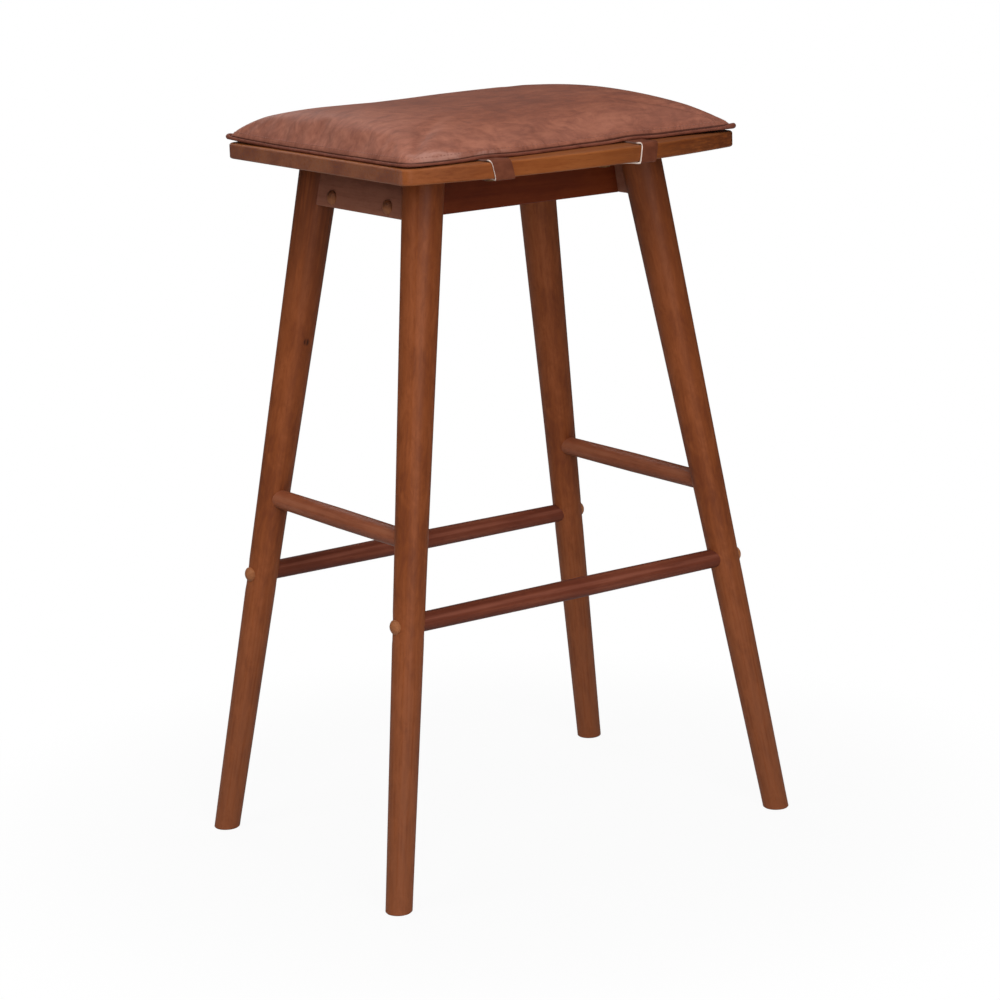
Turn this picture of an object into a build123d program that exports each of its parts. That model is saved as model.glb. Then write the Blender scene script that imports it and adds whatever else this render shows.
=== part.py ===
from build123d import *
import os
from math import asin, atan, copysign, cos, radians, sin, sqrt, tan

os.makedirs("parts", exist_ok=True)

# Backless bar stool. Two leaning side frames carry long rails, long stretchers and a bowed
# seat board, and a piped leather cushion is strapped to the board.
# X runs along the seat, Y across it, Z up from the floor. The origin is on the floor under
# the middle of the seat.

# Overall stance
seat_underside_height = 717
foot_spacing_long = 489
foot_spacing_short = 334
top_spacing_long = 266
top_spacing_short = 187

# Legs: round, tapering faster towards the seat
leg_foot_diameter = 27
leg_middle_diameter = 33.4
leg_top_diameter = 42
foot_arris = 1

# Side rails, tenoned into the legs in the plane of their side frame
side_rail_thickness = 20
side_rail_tenon_thickness = 10
side_rail_tenon_height = 28
side_rail_tenon_shoulder = 9
tenon_reach = 17
tenon_room = 1
rail_arris = 1

# Long rails, mitred between the side rails
rail_depth = 49
long_rail_thickness = 20
long_rail_spacing = 102

# Stretchers: round rods with a slight swell
stretcher_end_diameter = 19.6
stretcher_middle_diameter = 20.8
side_stretcher_height = 362
side_stretcher_tenon_diameter = 13
long_stretcher_height = 281
long_stretcher_socket_depth = 5
socket_clearance = 0.1

# Bolts and the threaded inserts that they draw up
bolt_diameter = 6
bolt_hole_room = 0.4
bolt_head_diameter = 11
bolt_head_height = 4
bolt_key_width = 4
bolt_key_depth = 2.5
bolt_engagement = 14
rail_bolt_rise = 13
counterbore_room = 2
leg_counterbore_depth = 11
rail_counterbore_depth = 8
insert_diameter = 10
insert_length = 15
insert_setback = 1.5
insert_hole_room = 4

# Dome caps over the bolt heads
cap_overlap = 1
cap_dome_height = 3.8
cap_rim_height = 1
cap_plug_clearance = 0.1
cap_head_gap = 0.4

# Dowels that locate the long rails
dowel_diameter = 8
dowel_drop = 14
dowel_in_side_rail = 12
dowel_in_long_rail = 18
dowel_room = 1

# Seat board
board_length = 407
board_corner_depth = 328
board_bow = 27
board_thickness = 16
board_corner_radius = 12
board_arris = 2.5

# Screws that hold the board, sunk in the underside of the long rails
seat_screw_spacing = 140
seat_screw_diameter = 4
seat_screw_head_diameter = 8
seat_screw_head_height = 3
seat_screw_sink_room = 1
seat_screw_sink_depth = 26
seat_screw_bite = 13

# Cushion
cushion_setback = 5.5
cushion_overhang = 3
cushion_draw_in_long = 7
cushion_draw_in_short = 3
cushion_corner_radius = 12
cushion_crown = 37
leather_thickness = 1.3
piping_diameter = 4.4
piping_clearance = 0.2
crown_height_shares = (0, 0.1, 0.34, 0.58, 0.77, 0.9, 0.975)
crown_rise_power = 3
crown_length_power = 8
crown_depth_power = 1.7
crown_corner_share = 0.5

# Straps round the edge of the board
strap_width = 20.5
strap_thickness = 2
strap_spacing = 171
strap_shift = -15
strap_toe_in = 5
strap_on_board = 50
strap_face_gap = 0.3
strap_hinge_drop = 0.5
tail_level_run = 2
tail_slope_run = 24
tail_snap_run = 40
tail_past_snap = 13
tail_tip_radius = 6
tail_bend_radius = 6
tail_fold_radius = 1.5

# Press studs that hold the strap tails
stud_flange_diameter = 11
stud_flange_height = 1
stud_post_diameter = 5.6
stud_tip_gap = 0.3
stud_screw_diameter = 2.5
stud_screw_length = 9
socket_diameter = 11
socket_height = 2.6
socket_bore_room = 0.6
socket_stud_gap = 1.5
socket_bore_depth = 2
socket_rivet_diameter = 4
socket_cap_diameter = 12.5
socket_cap_height = 1.8

# One overrun serves all cuts
overrun = 10

# Leans and heights worked out from the sizes above
lean_long = atan((foot_spacing_long - top_spacing_long) / 2 / seat_underside_height)
slope_long = tan(lean_long)
slope_short = (foot_spacing_short - top_spacing_short) / 2 / seat_underside_height
seat_top_height = seat_underside_height + board_thickness
rail_bottom_height = seat_underside_height - rail_depth
rail_bolt_height = rail_bottom_height + rail_bolt_rise
dowel_height = seat_underside_height - dowel_drop
counterbore_diameter = bolt_head_diameter + counterbore_room
bolt_hole_diameter = bolt_diameter + bolt_hole_room
cap_diameter = counterbore_diameter + 2 * cap_overlap
cushion_length = board_length - 2 * cushion_setback
cushion_depth = board_corner_depth + 2 * cushion_overhang


def leg_line(height):
    """Middle of the back right leg at a height above the floor."""
    x = foot_spacing_long / 2 - slope_long * height
    y = foot_spacing_short / 2 - slope_short * height
    return Vector(x, y, height)


def leg_radius(height):
    """Radius of a leg at a height: even tapers from the foot to half height and on to the top."""
    rise = 2 * height / seat_underside_height
    foot = leg_foot_diameter / 2
    middle = leg_middle_diameter / 2
    top = leg_top_diameter / 2
    if rise < 1:
        return foot + rise * (middle - foot)
    return middle + (rise - 1) * (top - middle)


def along_x(radius, start, end, y, z):
    """Round bar parallel to X."""
    bar = Cylinder(radius, end - start, align=(Align.CENTER, Align.CENTER, Align.MIN))
    return Pos(start, y, z) * (Plane.YZ * bar)


def along_z(radius, start, end, x, y):
    """Round bar parallel to Z."""
    bar = Cylinder(radius, end - start, align=(Align.CENTER, Align.CENTER, Align.MIN))
    return Pos(x, y, start) * bar


def turned(*profile):
    """Solid of revolution about Z from edges that close an outline of radius and height."""
    outline = Curve() + list(profile)
    return revolve(Plane.XZ * make_face(outline), Axis.Z)


def swelling_rod(length):
    """Round rod along Z, centred on the origin, a little thicker in the middle."""
    end = stretcher_end_diameter / 2
    middle = stretcher_middle_diameter / 2
    swell = Polyline((end, -length / 2), (middle, 0), (end, length / 2))
    rest = Polyline((end, length / 2), (0, length / 2), (0, -length / 2), (end, -length / 2))
    return turned(swell, rest)


# Right side frame: its plane has X along +Y of the stool and Y up the frame
frame_normal = (cos(lean_long), 0, sin(lean_long))
frame_plane = Plane(origin=(foot_spacing_long / 2, 0, 0), x_dir=(0, 1, 0), z_dir=frame_normal)
rail_half_along_x = side_rail_thickness / 2 / cos(lean_long)


def up_frame(height):
    """Distance up the frame plane that reaches a height above the floor."""
    return height / cos(lean_long)


def inner_face_x(height):
    """X of the right side rail's inner face at a height."""
    return leg_line(height).X - rail_half_along_x


def leg_blank():
    """Tapered round leg at the back right, running past the floor and the board."""
    foot = leg_line(0)
    top = leg_line(seat_underside_height)
    length = (top - foot).length
    foot_radius = leg_foot_diameter / 2
    top_radius = leg_top_diameter / 2
    taper = Polyline(
        (foot_radius, 0), (leg_middle_diameter / 2, length / 2), (top_radius, length)
    )
    rest = Polyline(
        (top_radius, length),
        (top_radius, length + overrun),
        (0, length + overrun),
        (0, -overrun),
        (foot_radius, -overrun),
        (foot_radius, 0),
    )
    return Plane(origin=foot, x_dir=(1, 1, 0), z_dir=top - foot) * turned(taper, rest)


def side_rail_blank():
    """Side rail between the middles of its legs, running up past the board's underside."""
    bottom = up_frame(rail_bottom_height) + side_rail_thickness / 2 * slope_long
    top = up_frame(seat_underside_height) + overrun
    low_half = leg_line(rail_bottom_height).Y
    high_half = leg_line(seat_underside_height).Y
    outline = Polyline(
        (-low_half, bottom), (low_half, bottom), (high_half, top), (-high_half, top), close=True
    )
    bar = extrude(make_face(outline), side_rail_thickness / 2, both=True)
    lower_arrises = bar.edges().group_by(Axis.Y)[0].filter_by(Axis.X)
    return frame_plane * chamfer(lower_arrises, rail_arris)


def side_rail_tenon(room):
    """Tenon bar of the side rail from tip to tip, with room past each tip."""
    height = rail_bottom_height + side_rail_tenon_shoulder + side_rail_tenon_height / 2
    reach = leg_line(height).Y - leg_radius(height) + tenon_reach + room
    tenon = Box(2 * reach, side_rail_tenon_height, side_rail_tenon_thickness)
    return frame_plane * Pos(0, up_frame(height), 0) * tenon


def side_stretcher_tenon(room):
    """Round tenon bar of the side stretcher from tip to tip, with room past each tip."""
    place = leg_line(side_stretcher_height)
    reach = place.Y - leg_radius(side_stretcher_height) + tenon_reach + room
    tenon = Cylinder(side_stretcher_tenon_diameter / 2, 2 * reach)
    return Pos(place.X, 0, place.Z) * (Plane.XZ * tenon)


# Places along the bolt of a long stretcher
stretcher_line = leg_line(long_stretcher_height)
stretcher_leg_radius = leg_radius(long_stretcher_height)
leg_surface_x = stretcher_line.X + stretcher_leg_radius
stretcher_end_x = stretcher_line.X - stretcher_leg_radius + long_stretcher_socket_depth
leg_bolt_floor_x = leg_surface_x - leg_counterbore_depth

# Places along the bolt and the dowel of a long rail
rail_line_y = long_rail_spacing / 2
rail_surface_x = leg_line(rail_bolt_height).X + rail_half_along_x
rail_bolt_floor_x = rail_surface_x - rail_counterbore_depth
rail_end_x = inner_face_x(rail_bolt_height)
dowel_shoulder_x = inner_face_x(dowel_height)


def bolt_way(floor_x, end_x, y, z):
    """Counterbore from outside and a bolt hole on to the inside, parallel to X."""
    sink = along_x(counterbore_diameter / 2, floor_x, floor_x + leg_top_diameter, y, z)
    hole = along_x(bolt_hole_diameter / 2, end_x - overrun, floor_x + overrun, y, z)
    return sink + hole


def bolt(floor_x, end_x, y, z):
    """Hexagon-socket bolt with its head on the counterbore's floor."""
    head_x = floor_x + bolt_head_height
    shank = along_x(bolt_diameter / 2, end_x - bolt_engagement, floor_x, y, z)
    head = along_x(bolt_head_diameter / 2, floor_x, head_x, y, z)
    key = extrude(RegularPolygon(bolt_key_width / 2, 6, major_radius=False), bolt_key_depth)
    return shank + head - Pos(head_x - bolt_key_depth, y, z) * (Plane.YZ * key)


def threaded_insert(end_x, y, z):
    """Insert in the end grain of a rail or stretcher, round the bolt."""
    outer = end_x - insert_setback
    tube = along_x(insert_diameter / 2, outer - insert_length, outer, y, z)
    return tube - along_x(bolt_diameter / 2, outer - insert_length, outer, y, z)


def insert_hole(end_x, y, z):
    """Blind hole in end grain for an insert and the tip of its bolt."""
    floor_x = end_x - insert_setback - insert_length - insert_hole_room
    return along_x(insert_diameter / 2, floor_x, end_x + overrun, y, z)


def dome_cap(surface_x, plug_depth, fit_depth, y, z):
    """Round-headed plug facing +X, its head running on into the wood that it is fitted to."""
    radius = cap_diameter / 2
    plug_radius = counterbore_diameter / 2 - cap_plug_clearance
    crown = cap_rim_height + cap_dome_height
    globe = (radius * radius + cap_dome_height * cap_dome_height) / (2 * cap_dome_height)
    shoulder_radius = radius * sqrt(0.5)
    shoulder = crown - globe + sqrt(globe * globe - shoulder_radius * shoulder_radius)
    dome = ThreePointArc((radius, cap_rim_height), (shoulder_radius, shoulder), (0, crown))
    rest = Polyline(
        (0, crown),
        (0, -plug_depth),
        (plug_radius, -plug_depth),
        (plug_radius, -fit_depth),
        (radius, -fit_depth),
        (radius, cap_rim_height),
    )
    return Pos(surface_x, y, z) * (Plane.YZ * turned(dome, rest))


def under_board(solid):
    """What of a solid lies below the board's underside."""
    board_plane = Plane.XY.offset(seat_underside_height)
    return split(solid, bisect_by=board_plane, keep=Keep.BOTTOM)


def leg():
    """Back right leg with its mortise, stretcher hole, socket and bolt way."""
    socket_radius = stretcher_end_diameter / 2 + socket_clearance
    socket_start = stretcher_end_x - leg_top_diameter
    y = stretcher_line.Y
    shaped = leg_blank() - side_rail_tenon(tenon_room) - side_stretcher_tenon(tenon_room)
    shaped -= along_x(socket_radius, socket_start, stretcher_end_x, y, long_stretcher_height)
    shaped -= bolt_way(leg_bolt_floor_x, stretcher_end_x, y, long_stretcher_height)
    standing = split(under_board(shaped), bisect_by=Plane.XY, keep=Keep.TOP)
    return chamfer(standing.edges().group_by(Axis.Z)[0], foot_arris)


def side_frame_cope():
    """Both right legs, to fit rail and stretcher shoulders to their round sides."""
    blank = leg_blank()
    return blank + mirror(blank, about=Plane.XZ)


def side_rail():
    """Right side rail with tenons, bolt ways and dowel holes."""
    rail = under_board(side_rail_blank() - side_frame_cope() + side_rail_tenon(0))
    for y in (-rail_line_y, rail_line_y):
        rail -= bolt_way(rail_bolt_floor_x, rail_end_x, y, rail_bolt_height)
        floor_x = dowel_shoulder_x + dowel_in_side_rail + dowel_room
        rail -= along_x(dowel_diameter / 2, dowel_shoulder_x - overrun, floor_x, y, dowel_height)
    return rail


def side_stretcher():
    """Right side stretcher, its shoulders fitted to the legs."""
    place = leg_line(side_stretcher_height)
    rod = Pos(place.X, 0, place.Z) * (Plane.XZ * swelling_rod(2 * place.Y))
    return rod - side_frame_cope() + side_stretcher_tenon(0)


def long_stretcher():
    """Back long stretcher with insert holes in both ends."""
    y = stretcher_line.Y
    rod = Plane.YZ * swelling_rod(2 * stretcher_end_x)
    hole = insert_hole(stretcher_end_x, y, long_stretcher_height)
    rod = Pos(0, y, long_stretcher_height) * rod - hole
    return rod - mirror(hole, about=Plane.YZ)


def seat_screw_way(x):
    """Sunk screw hole up through the back long rail."""
    sink_top = rail_bottom_height + seat_screw_sink_depth
    y = rail_line_y
    sink_radius = (seat_screw_head_diameter + seat_screw_sink_room) / 2
    sink = along_z(sink_radius, rail_bottom_height - overrun, sink_top, x, y)
    return sink + along_z(seat_screw_diameter / 2, sink_top, seat_top_height, x, y)


def seat_screw(x):
    """Flat-headed screw up through the back long rail into the board."""
    seat = rail_bottom_height + seat_screw_sink_depth
    tip = seat_underside_height + seat_screw_bite
    y = rail_line_y
    shank = along_z(seat_screw_diameter / 2, seat, tip, x, y)
    return shank + along_z(seat_screw_head_diameter / 2, seat - seat_screw_head_height, seat, x, y)


def long_rail():
    """Back long rail, its ends mitred to the side rails' inner faces."""
    low = inner_face_x(rail_bottom_height)
    high = inner_face_x(seat_underside_height)
    outline = Polyline(
        (-low, rail_bottom_height),
        (low, rail_bottom_height),
        (high, seat_underside_height),
        (-high, seat_underside_height),
        close=True,
    )
    bar = extrude(Plane.XZ * make_face(outline), long_rail_thickness / 2, both=True)
    bar = chamfer(bar.edges().group_by(Axis.Z)[0].filter_by(Axis.X), rail_arris)
    rail = Pos(0, rail_line_y, 0) * bar
    dowel_floor_x = dowel_shoulder_x - dowel_in_long_rail - dowel_room
    dowel_mouth_x = dowel_shoulder_x + overrun
    holes = insert_hole(rail_end_x, rail_line_y, rail_bolt_height)
    holes += along_x(dowel_diameter / 2, dowel_floor_x, dowel_mouth_x, rail_line_y, dowel_height)
    rail = rail - holes - mirror(holes, about=Plane.YZ)
    for x in (-seat_screw_spacing / 2, seat_screw_spacing / 2):
        rail -= seat_screw_way(x)
    return rail


# Long edge of the board: an arc through its corners and its bow
board_edge_radius = ((board_length / 2) ** 2 + board_bow**2) / (2 * board_bow)
board_edge_centre_y = board_corner_depth / 2 + board_bow - board_edge_radius


def strap_plane(x):
    """Plane across the back edge at X: its X points out from the edge, its Y up from the underside."""
    out_y = sqrt(board_edge_radius**2 - x**2)
    edge = (x, board_edge_centre_y + out_y, seat_underside_height)
    outward = (x / board_edge_radius, out_y / board_edge_radius, 0)
    along = (out_y / board_edge_radius, -x / board_edge_radius, 0)
    return Plane(origin=edge, x_dir=outward, z_dir=along)


strap_places = (strap_shift - strap_spacing / 2, strap_shift + strap_spacing / 2)
strap_skin = strap_face_gap + strap_thickness
tail_top = -stud_flange_height - socket_stud_gap - socket_height
tail_level_end = -tail_level_run
tail_slope_end = tail_level_end - tail_slope_run
tail_tip = tail_slope_end - tail_snap_run
snap_out = tail_tip + tail_past_snap


def strap_drift(x):
    """Sideways step, per mm of its run, of the strap at X: straps turn in towards the middle."""
    return -tan(asin(x / board_edge_radius) + copysign(radians(strap_toe_in), x))


def trimmed(bar, x, out_way, up_way):
    """Bar across the edge cut to the strap's width, its sides drifting along the run."""
    drift = strap_drift(x)
    half = strap_width / 2 * sqrt(1 + drift * drift)
    sideways = (out_way * drift, up_way * drift, 1)
    high = Plane(origin=(strap_skin, -strap_hinge_drop, half), z_dir=sideways)
    low = Plane(origin=(strap_skin, -strap_hinge_drop, -half), z_dir=sideways)
    bar = split(bar, bisect_by=high, keep=Keep.BOTTOM)
    return split(bar, bisect_by=low, keep=Keep.TOP)


def snap_axis(x):
    """X and Y of the press stud of the back strap at X."""
    aside = strap_drift(x) * (strap_skin - snap_out)
    centre = strap_plane(x).from_local_coords(Vector(snap_out, 0, aside))
    return centre.X, centre.Y


def strap(x):
    """Back strap from under the cushion over the board's edge to the fold below it."""
    inner = board_arris
    outer = board_arris + strap_thickness
    face = strap_face_gap
    skin = strap_skin
    top = board_thickness
    upper = board_thickness + strap_thickness
    path_under = FilletPolyline(
        (-strap_on_board, top), (face, top), (face, -strap_hinge_drop), radius=inner
    )
    path_over = FilletPolyline(
        (-strap_on_board, upper), (skin, upper), (skin, -strap_hinge_drop), radius=outer
    )
    ends = [
        Line((face, -strap_hinge_drop), (skin, -strap_hinge_drop)),
        Line((-strap_on_board, upper), (-strap_on_board, top)),
    ]
    profile = make_face(Curve() + [path_under, path_over] + ends)
    bar = extrude(profile, strap_width / 2 + strap_on_board, both=True)
    return strap_plane(x) * trimmed(bar, x, -1, 1)


def strap_tail(x):
    """Back strap's tail, folded under the board and dropping to its press stud."""
    start = -strap_hinge_drop
    points = (
        (strap_skin, start),
        (tail_level_end, start),
        (tail_slope_end, tail_top),
        (tail_tip, tail_top),
    )
    lower_points = [(out, up - strap_thickness) for out, up in points]
    upper_side = FilletPolyline(*points, radius=tail_bend_radius)
    lower_side = FilletPolyline(*lower_points, radius=tail_bend_radius)
    ends = [Line(points[0], lower_points[0]), Line(points[-1], lower_points[-1])]
    profile = make_face(Curve() + [upper_side, lower_side] + ends)
    bar = extrude(profile, strap_width / 2 - tail_tip, both=True)
    fold = bar.edges().filter_by(Axis.Z).sort_by(Axis.Y)
    fold = fold.filter_by_position(Axis.X, strap_skin / 2, strap_skin + overrun)[0]
    tail = trimmed(fillet(fold, tail_fold_radius), x, 1, 0)
    tip = tail.edges().filter_by(Axis.Y).group_by(Axis.X)[0]
    tail = strap_plane(x) * fillet(tip, tail_tip_radius)
    rivet_x, rivet_y = snap_axis(x)
    bottom = seat_underside_height + tail_top - strap_thickness
    return tail - along_z(socket_rivet_diameter / 2, bottom - overrun, bottom + overrun, rivet_x, rivet_y)


def press_stud(x):
    """Stud under the board for the back strap at X, with its screw."""
    stud_x, stud_y = snap_axis(x)
    flange_bottom = seat_underside_height - stud_flange_height
    post_bottom = flange_bottom - socket_stud_gap - socket_bore_depth + stud_tip_gap
    screw_top = seat_underside_height + stud_screw_length
    stud = along_z(stud_flange_diameter / 2, flange_bottom, seat_underside_height, stud_x, stud_y)
    post = along_z(stud_post_diameter / 2, post_bottom, flange_bottom, stud_x, stud_y)
    post = fillet(post.edges().group_by(Axis.Z)[0], stud_post_diameter / 6)
    screw = along_z(stud_screw_diameter / 2, seat_underside_height, screw_top, stud_x, stud_y)
    return stud + post + screw


def press_socket(x):
    """Socket, rivet and domed cap on the tail of the back strap at X."""
    socket_x, socket_y = snap_axis(x)
    leather_top = seat_underside_height + tail_top
    leather_bottom = leather_top - strap_thickness
    top = leather_top + socket_height
    cap_bottom = leather_bottom - socket_cap_height
    ring = along_z(socket_diameter / 2, leather_top, top, socket_x, socket_y)
    bore_radius = (stud_post_diameter + socket_bore_room) / 2
    bore = along_z(bore_radius, top - socket_bore_depth, top, socket_x, socket_y)
    rivet = along_z(socket_rivet_diameter / 2, leather_bottom, leather_top, socket_x, socket_y)
    cap = along_z(socket_cap_diameter / 2, cap_bottom, leather_bottom, socket_x, socket_y)
    cap = fillet(cap.edges().group_by(Axis.Z)[0], socket_cap_height * 2 / 3)
    return ring - bore + rivet + cap


def seat_board():
    """Board with bowed long sides, rounded corners and eased arrises."""
    half = board_length / 2
    corner = board_corner_depth / 2
    middle = corner + board_bow
    outline = Curve() + [
        ThreePointArc((-half, -corner), (0, -middle), (half, -corner)),
        Line((half, -corner), (half, corner)),
        ThreePointArc((half, corner), (0, middle), (-half, corner)),
        Line((-half, corner), (-half, -corner)),
    ]
    face = make_face(outline)
    face = fillet(face.vertices(), board_corner_radius)
    board = Pos(0, 0, seat_underside_height) * extrude(face, board_thickness)
    rims = board.edges().group_by(Axis.Z)
    board = fillet(rims[0] + rims[-1], board_arris)
    for x in (-seat_screw_spacing / 2, seat_screw_spacing / 2):
        screw = seat_screw(x)
        board = board - screw - mirror(screw, about=Plane.XZ)
    for x in strap_places:
        stud = press_stud(x)
        board = board - stud - mirror(stud, about=Plane.XZ)
    return board


# Levels of the cushion, from the straps that it lies on up to its crown
cushion_bottom = seat_top_height + strap_thickness
panel_top = cushion_bottom + leather_thickness


def pad_outline(height, inset, rise=0):
    """Face of the cushion at a share of its rise, with drawn-in sides and rounded corners."""
    spread = 1 - rise**crown_rise_power
    long_share = spread ** (1 / crown_length_power)
    deep_share = spread ** (1 / crown_depth_power)
    half_length = (cushion_length / 2 - inset) * long_share
    half_depth = (cushion_depth / 2 - inset) * deep_share
    waist_length = half_length - cushion_draw_in_short * long_share
    waist_depth = half_depth - cushion_draw_in_long * deep_share
    corners = (
        (half_length, half_depth),
        (-half_length, half_depth),
        (-half_length, -half_depth),
        (half_length, -half_depth),
    )
    waists = ((0, waist_depth), (-waist_length, 0), (0, -waist_depth), (waist_length, 0))
    following = corners[1:] + corners[:1]
    sides = [ThreePointArc(*points) for points in zip(corners, waists, following)]
    seam_corner = cushion_corner_radius - inset
    crown_corner = crown_corner_share * min(half_length, half_depth)
    outline = make_face(Curve() + sides)
    outline = fillet(outline.vertices(), seam_corner + rise * (crown_corner - seam_corner))
    return Pos(0, 0, height) * outline.face()


def crowned_pad(inset, crown):
    """Crowned solid on the bottom panel, inset from the seam on all sides."""
    sections = []
    for share in crown_height_shares:
        sections.append(pad_outline(panel_top + crown * share, inset, share).outer_wire())
    return Solid.make_loft(sections)


def cushion_bottom_panel():
    """Flat leather panel under the cushion."""
    return extrude(pad_outline(cushion_bottom, 0), leather_thickness)


def cushion_piping():
    """Round piping along the seam between the panels, clear of the straps under it."""
    offset_out = piping_diameter / 2 + piping_clearance
    path = pad_outline(cushion_bottom + offset_out, -offset_out).outer_wire()
    section = Plane(origin=path @ 0, z_dir=path % 0) * Circle(piping_diameter / 2)
    return sweep(section, path=path)


def four_ways(solid):
    """A back right solid and its mirror images at the other three corners."""
    pair = [solid, mirror(solid, about=Plane.YZ)]
    return pair + [mirror(each, about=Plane.XZ) for each in pair]


def write(name, *solids):
    """One file per sub-part, of one solid or of several alike."""
    shape = solids[0] if len(solids) == 1 else Compound(children=list(solids))
    export_step(shape, f"parts/{name}.step")


back_right_leg = leg()
legs = four_ways(back_right_leg)
write("leg_back_right", legs[0])
write("leg_back_left", legs[1])
write("leg_front_right", legs[2])
write("leg_front_left", legs[3])

right_rail = side_rail()
right_stretcher = side_stretcher()
write("side_rail_right", right_rail)
write("side_rail_left", mirror(right_rail, about=Plane.YZ))
write("side_stretcher_right", right_stretcher)
write("side_stretcher_left", mirror(right_stretcher, about=Plane.YZ))

back_rail = long_rail()
back_stretcher = long_stretcher()
write("long_rail_back", back_rail)
write("long_rail_front", mirror(back_rail, about=Plane.XZ))
write("long_stretcher_back", back_stretcher)
write("long_stretcher_front", mirror(back_stretcher, about=Plane.XZ))

stretcher_y = stretcher_line.Y
rail_fastening = (rail_bolt_floor_x, rail_end_x, rail_line_y, rail_bolt_height)
leg_fastening = (leg_bolt_floor_x, stretcher_end_x, stretcher_y, long_stretcher_height)
write("rail_bolts", *four_ways(bolt(*rail_fastening)))
write("stretcher_bolts", *four_ways(bolt(*leg_fastening)))
rail_insert = threaded_insert(rail_end_x, rail_line_y, rail_bolt_height)
stretcher_insert = threaded_insert(stretcher_end_x, stretcher_y, long_stretcher_height)
write("rail_inserts", *four_ways(rail_insert))
write("stretcher_inserts", *four_ways(stretcher_insert))

# Caps: the head is cut to the rail's leaning face or to the leg's round side
cap_radius = cap_diameter / 2
lean_fit = cap_rim_height + cap_radius * slope_long
leg_hollow = stretcher_leg_radius - sqrt(stretcher_leg_radius**2 - cap_radius**2)
rail_plug = rail_counterbore_depth - bolt_head_height - cap_head_gap
leg_plug = leg_counterbore_depth - bolt_head_height - cap_head_gap
rail_cap = dome_cap(rail_surface_x, rail_plug, lean_fit, rail_line_y, rail_bolt_height)
leg_fit = lean_fit + leg_hollow
leg_cap = dome_cap(leg_surface_x, leg_plug, leg_fit, stretcher_y, long_stretcher_height)
write("rail_bolt_caps", *four_ways(rail_cap - right_rail))
write("stretcher_bolt_caps", *four_ways(leg_cap - back_right_leg))

dowel_start = dowel_shoulder_x - dowel_in_long_rail
dowel_end = dowel_shoulder_x + dowel_in_side_rail
dowel = along_x(dowel_diameter / 2, dowel_start, dowel_end, rail_line_y, dowel_height)
write("rail_dowels", *four_ways(dowel))
write("seat_screws", *four_ways(seat_screw(seat_screw_spacing / 2)))
write("seat_board", seat_board())

for side, x in zip(("left", "right"), strap_places):
    back_pieces = {
        f"strap_BACK_{side}": strap(x),
        f"strap_tail_BACK_{side}": strap_tail(x),
        f"press_socket_BACK_{side}": press_socket(x),
    }
    for name, solid in back_pieces.items():
        write(name.replace("BACK", "back"), solid)
        write(name.replace("BACK", "front"), mirror(solid, about=Plane.XZ))
studs = [press_stud(x) for x in strap_places]
write("press_studs", *studs, *[mirror(stud, about=Plane.XZ) for stud in studs])

foam = crowned_pad(leather_thickness, cushion_crown - leather_thickness)
write("cushion_bottom_panel", cushion_bottom_panel())
write("cushion_foam", foam)
write("cushion_top_panel", crowned_pad(0, cushion_crown) - foam)
write("cushion_piping", cushion_piping())
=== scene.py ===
import bpy
import bmesh
from math import asin, copysign, cos, exp, pi, radians, sin, sqrt, tan
from mathutils import Matrix, Vector
from mathutils.bvhtree import BVHTree
from mathutils.noise import noise as wobble


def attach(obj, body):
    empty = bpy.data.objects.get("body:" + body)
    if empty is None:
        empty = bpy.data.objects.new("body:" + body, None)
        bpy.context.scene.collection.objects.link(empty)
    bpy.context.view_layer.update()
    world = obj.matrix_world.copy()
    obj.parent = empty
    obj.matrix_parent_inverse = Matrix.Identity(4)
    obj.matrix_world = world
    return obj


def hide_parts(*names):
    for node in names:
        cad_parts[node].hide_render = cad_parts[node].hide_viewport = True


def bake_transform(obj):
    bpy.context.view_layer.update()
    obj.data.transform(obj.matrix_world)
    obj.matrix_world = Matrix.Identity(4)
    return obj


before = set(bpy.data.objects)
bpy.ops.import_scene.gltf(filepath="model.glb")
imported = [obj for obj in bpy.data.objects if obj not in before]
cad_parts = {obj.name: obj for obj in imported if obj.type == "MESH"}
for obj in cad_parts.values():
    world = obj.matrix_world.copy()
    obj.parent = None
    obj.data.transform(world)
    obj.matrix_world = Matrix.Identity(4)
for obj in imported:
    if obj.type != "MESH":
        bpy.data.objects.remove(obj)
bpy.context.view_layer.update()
scene = bpy.context.scene

# Lengths and places are written in millimetres and become metres in mm()

def mm(*lengths):
    """Point or length in metres."""
    if len(lengths) == 1:
        return lengths[0] / 1000
    return Vector(lengths) / 1000


def srgb(red, green, blue):
    """Colour as seen on a screen, 0 to 255, as the linear colour that shaders use."""
    def linear(level):
        level /= 255
        return level / 12.92 if level <= 0.04045 else ((level + 0.055) / 1.055) ** 2.4
    return (linear(red), linear(green), linear(blue), 1)


# Camera, where the photographer stood

eye = mm(-1820.16, -2609.26, 1104.33)
turn, tip, roll = 0.61194, -0.23276, -0.03223
picture_width = 36
focal_share = 3.10703
ahead = Vector((sin(turn) * cos(tip), cos(turn) * cos(tip), sin(tip)))
level_right = Vector((cos(turn), -sin(turn), 0))
level_up = level_right.cross(ahead)
right = cos(roll) * level_right + sin(roll) * level_up
up = cos(roll) * level_up - sin(roll) * level_right
lens = bpy.data.cameras.new("camera")
lens.sensor_width = picture_width
lens.lens = picture_width * focal_share
lens.clip_end = 20
camera = bpy.data.objects.new("camera", lens)
scene.collection.objects.link(camera)
camera.matrix_world = Matrix.Translation(eye) @ Matrix((right, up, -ahead)).transposed().to_4x4()
scene.camera = camera


# Shader maths

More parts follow.
